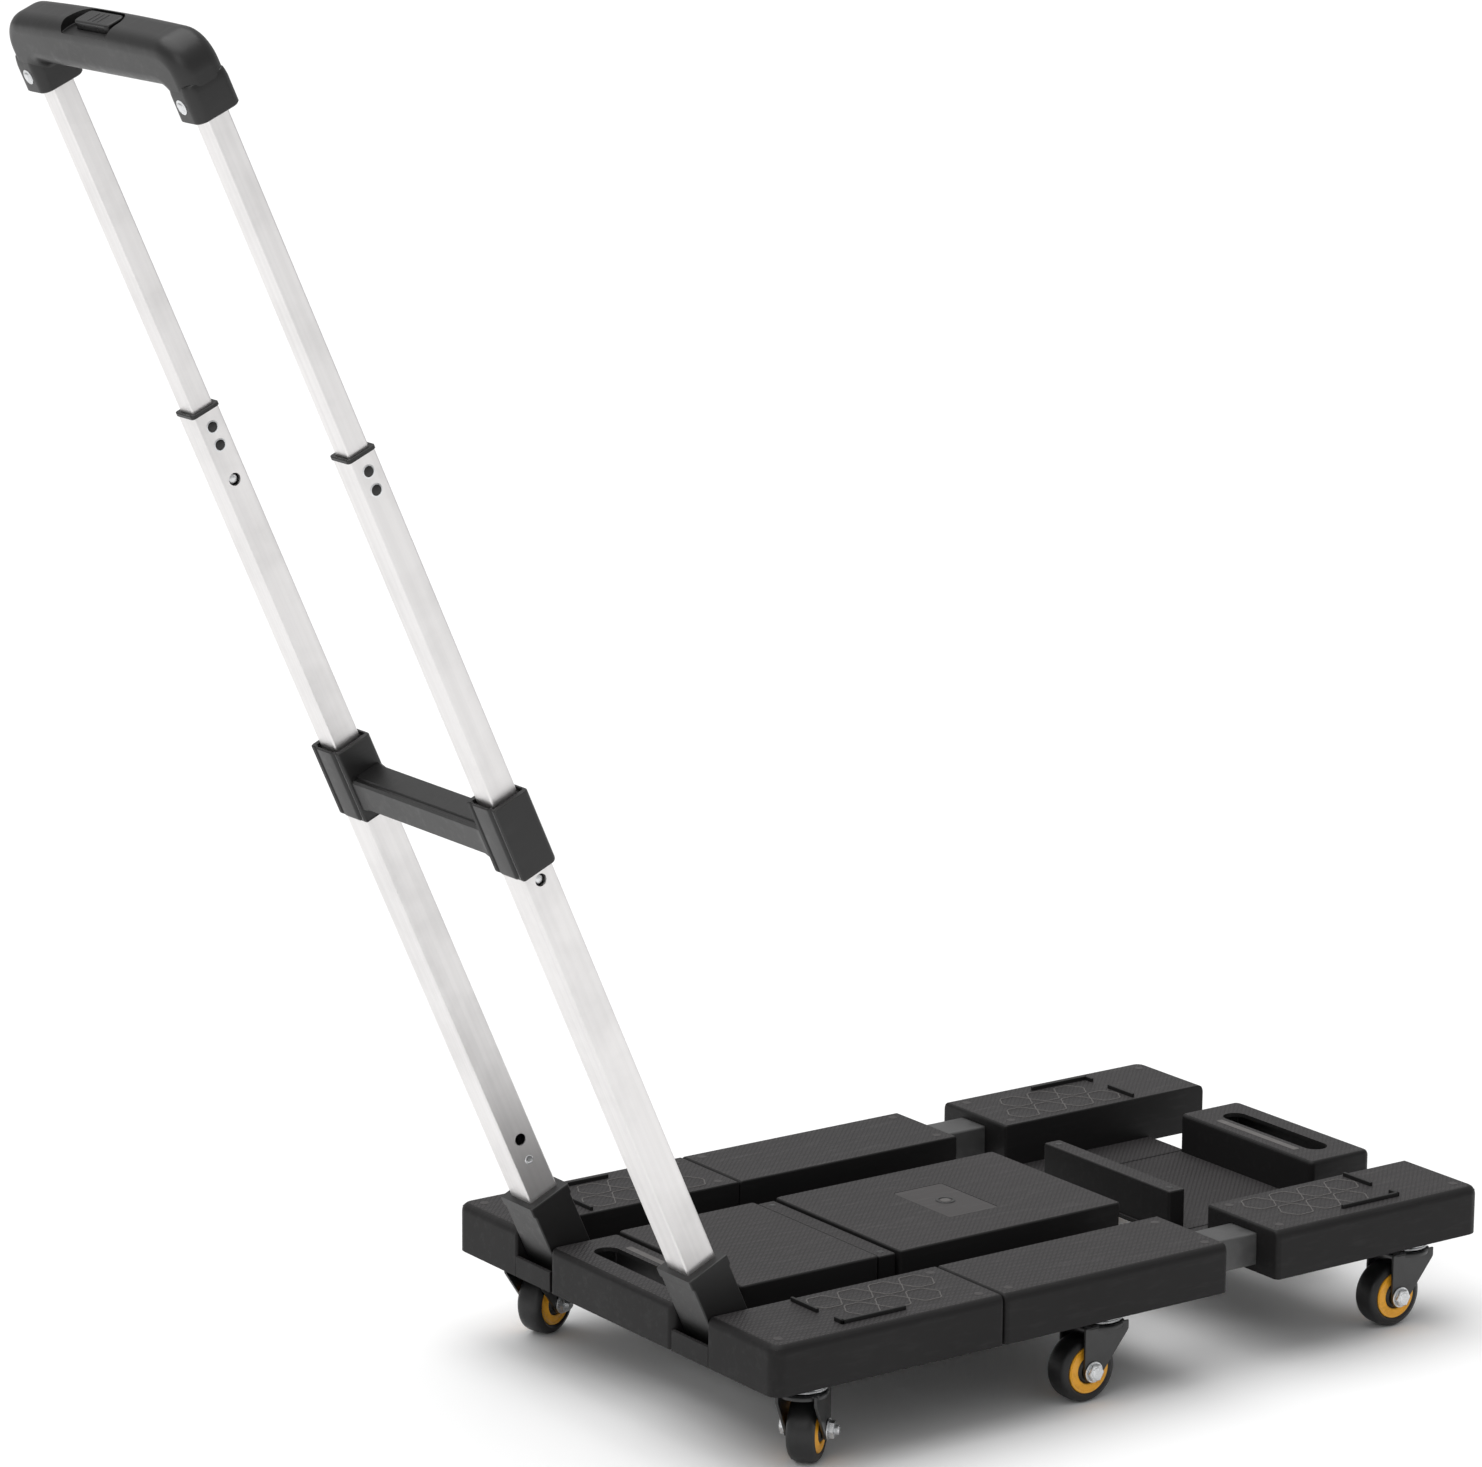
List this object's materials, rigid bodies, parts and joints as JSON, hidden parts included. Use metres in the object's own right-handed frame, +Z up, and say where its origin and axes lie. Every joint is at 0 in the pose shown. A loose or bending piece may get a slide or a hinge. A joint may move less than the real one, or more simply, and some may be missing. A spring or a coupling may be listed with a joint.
{
  "type": "folding platform cart",
  "caption": "Folding platform cart: sectioned plastic deck on swivel casters, sliding rear section and a leaning telescopic handle that folds flat into the deck.",
  "frame": {"origin": "middle of the bounding box on the floor, at rest with the handle leaning back and pulled out", "axes": "+X from the handle end to the rear end of the deck, +Y to the left of a person who pushes from the handle, +Z up"},
  "size_m": [1.0618, 0.4, 1.0197],
  "materials": {
    "deck_plastic": "black polypropylene with a fine diamond tread on top and smooth sides",
    "panel_plastic": "black polypropylene with a fine diamond tread, slightly lighter",
    "badge_plastic": "smooth satin black plate",
    "rail_steel": "dull grey steel bar",
    "handle_plastic": "satin black nylon",
    "grip_plastic": "satin black plastic with soft highlights",
    "button_plastic": "smooth black push button",
    "tube_aluminium": "satin anodised square tube with faint drawing lines",
    "zinc_steel": "bright zinc plate",
    "caster_steel": "black coated pressed steel",
    "tyre_rubber": "smooth black polyurethane tyre",
    "rim_plastic": "yellow-orange moulded rim"
  },
  "bodies": {
    "deck": {"front_section": "deck_plastic", "middle_section": "deck_plastic", "front_centre_panel": "panel_plastic", "middle_centre_panel": "panel_plastic", "badge_plate": "badge_plastic", "left_pivot_pin": "zinc_steel", "right_pivot_pin": "zinc_steel", "caster_front_left_plate": "caster_steel", "caster_front_right_plate": "caster_steel", "caster_middle_left_plate": "caster_steel", "caster_middle_right_plate": "caster_steel"},
    "rear_deck": {"rear_section": "deck_plastic", "left_slide_rail": "rail_steel", "right_slide_rail": "rail_steel", "caster_rear_left_plate": "caster_steel", "caster_rear_right_plate": "caster_steel"},
    "handle_base": {"left_socket": "handle_plastic", "right_socket": "handle_plastic", "left_lower_tube": "tube_aluminium", "right_lower_tube": "tube_aluminium", "cross_brace": "handle_plastic"},
    "handle_middle": {"left_middle_tube": "tube_aluminium", "right_middle_tube": "tube_aluminium", "left_collar": "handle_plastic", "right_collar": "handle_plastic", "lower_lock_button": "zinc_steel"},
    "handle_top": {"left_top_tube": "tube_aluminium", "right_top_tube": "tube_aluminium", "handle_grip": "grip_plastic", "left_grip_rivet": "zinc_steel", "right_grip_rivet": "zinc_steel", "upper_lock_button": "zinc_steel", "button_spring": "zinc_steel"},
    "button": {"release_button": "button_plastic", "left_pull_rod": "zinc_steel", "right_pull_rod": "zinc_steel"},
    "fork_front_left": {"caster_front_left_fork": "caster_steel", "caster_front_left_axle_bolt": "zinc_steel"},
    "wheel_front_left": {"caster_front_left_tyre": "tyre_rubber", "caster_front_left_rim": "rim_plastic"},
    "fork_front_right": {"caster_front_right_fork": "caster_steel", "caster_front_right_axle_bolt": "zinc_steel"},
    "wheel_front_right": {"caster_front_right_tyre": "tyre_rubber", "caster_front_right_rim": "rim_plastic"},
    "fork_middle_left": {"caster_middle_left_fork": "caster_steel", "caster_middle_left_axle_bolt": "zinc_steel"},
    "wheel_middle_left": {"caster_middle_left_tyre": "tyre_rubber", "caster_middle_left_rim": "rim_plastic"},
    "fork_middle_right": {"caster_middle_right_fork": "caster_steel", "caster_middle_right_axle_bolt": "zinc_steel"},
    "wheel_middle_right": {"caster_middle_right_tyre": "tyre_rubber", "caster_middle_right_rim": "rim_plastic"},
    "fork_rear_left": {"caster_rear_left_fork": "caster_steel", "caster_rear_left_axle_bolt": "zinc_steel"},
    "wheel_rear_left": {"caster_rear_left_tyre": "tyre_rubber", "caster_rear_left_rim": "rim_plastic"},
    "fork_rear_right": {"caster_rear_right_fork": "caster_steel", "caster_rear_right_axle_bolt": "zinc_steel"},
    "wheel_rear_right": {"caster_rear_right_tyre": "tyre_rubber", "caster_rear_right_rim": "rim_plastic"}
  },
  "joints": [
    {"name": "handle_fold", "type": "hinge", "parent": "deck", "child": "handle_base", "pos_m": [-0.09757, 0, 0.09], "axis": [0, 1, 0], "range_deg": [0, 114.43]},
    {"name": "middle_stage", "type": "slide", "parent": "handle_base", "child": "handle_middle", "axis": [0.4136, 0, -0.9105], "range_m": [0, 0.2605]},
    {"name": "top_stage", "type": "slide", "parent": "handle_middle", "child": "handle_top", "axis": [0.4136, 0, -0.9105], "range_m": [0, 0.246]},
    {"name": "release_press", "type": "slide", "parent": "handle_top", "child": "button", "axis": [0.4136, 0, -0.9105], "range_m": [0, 0.004], "stiffness_N_per_m": 900, "springref_m": -0.004},
    {"name": "rear_slide", "type": "slide", "parent": "deck", "child": "rear_deck", "axis": [1, 0, 0], "range_m": [-0.045, 0]},
    {"name": "swivel_front_left", "type": "hinge", "parent": "deck", "child": "fork_front_left", "pos_m": [-0.07458, 0.168, 0.059], "axis": [0, 0, 1], "continuous": true},
    {"name": "roll_front_left", "type": "hinge", "parent": "fork_front_left", "child": "wheel_front_left", "pos_m": [-0.06057, 0.17338, 0.0247], "axis": [0.3584, -0.9336, 0], "continuous": true},
    {"name": "swivel_front_right", "type": "hinge", "parent": "deck", "child": "fork_front_right", "pos_m": [-0.07458, -0.168, 0.059], "axis": [0, 0, 1], "continuous": true},
    {"name": "roll_front_right", "type": "hinge", "parent": "fork_front_right", "child": "wheel_front_right", "pos_m": [-0.06292, -0.15856, 0.0247], "axis": [0.6293, -0.7771, 0], "continuous": true},
    {"name": "swivel_middle_left", "type": "hinge", "parent": "deck", "child": "fork_middle_left", "pos_m": [0.18893, 0.168, 0.059], "axis": [0, 0, 1], "continuous": true},
    {"name": "roll_middle_left", "type": "hinge", "parent": "fork_middle_left", "child": "wheel_middle_left", "pos_m": [0.17392, 0.168, 0.0247], "axis": [0, 1, 0], "continuous": true},
    {"name": "swivel_middle_right", "type": "hinge", "parent": "deck", "child": "fork_middle_right", "pos_m": [0.18893, -0.168, 0.059], "axis": [0, 0, 1], "continuous": true},
    {"name": "roll_middle_right", "type": "hinge", "parent": "fork_middle_right", "child": "wheel_middle_right", "pos_m": [0.17392, -0.168, 0.0247], "axis": [0, 1, 0], "continuous": true},
    {"name": "swivel_rear_left", "type": "hinge", "parent": "rear_deck", "child": "fork_rear_left", "pos_m": [0.48392, 0.168, 0.059], "axis": [0, 0, 1], "continuous": true},
    {"name": "roll_rear_left", "type": "hinge", "parent": "fork_rear_left", "child": "wheel_rear_left", "pos_m": [0.46892, 0.168, 0.0247], "axis": [0, 1, 0], "continuous": true},
    {"name": "swivel_rear_right", "type": "hinge", "parent": "rear_deck", "child": "fork_rear_right", "pos_m": [0.48392, -0.168, 0.059], "axis": [0, 0, 1], "continuous": true},
    {"name": "roll_rear_right", "type": "hinge", "parent": "fork_rear_right", "child": "wheel_rear_right", "pos_m": [0.46892, -0.168, 0.0247], "axis": [0, 1, 0], "continuous": true}
  ]
}
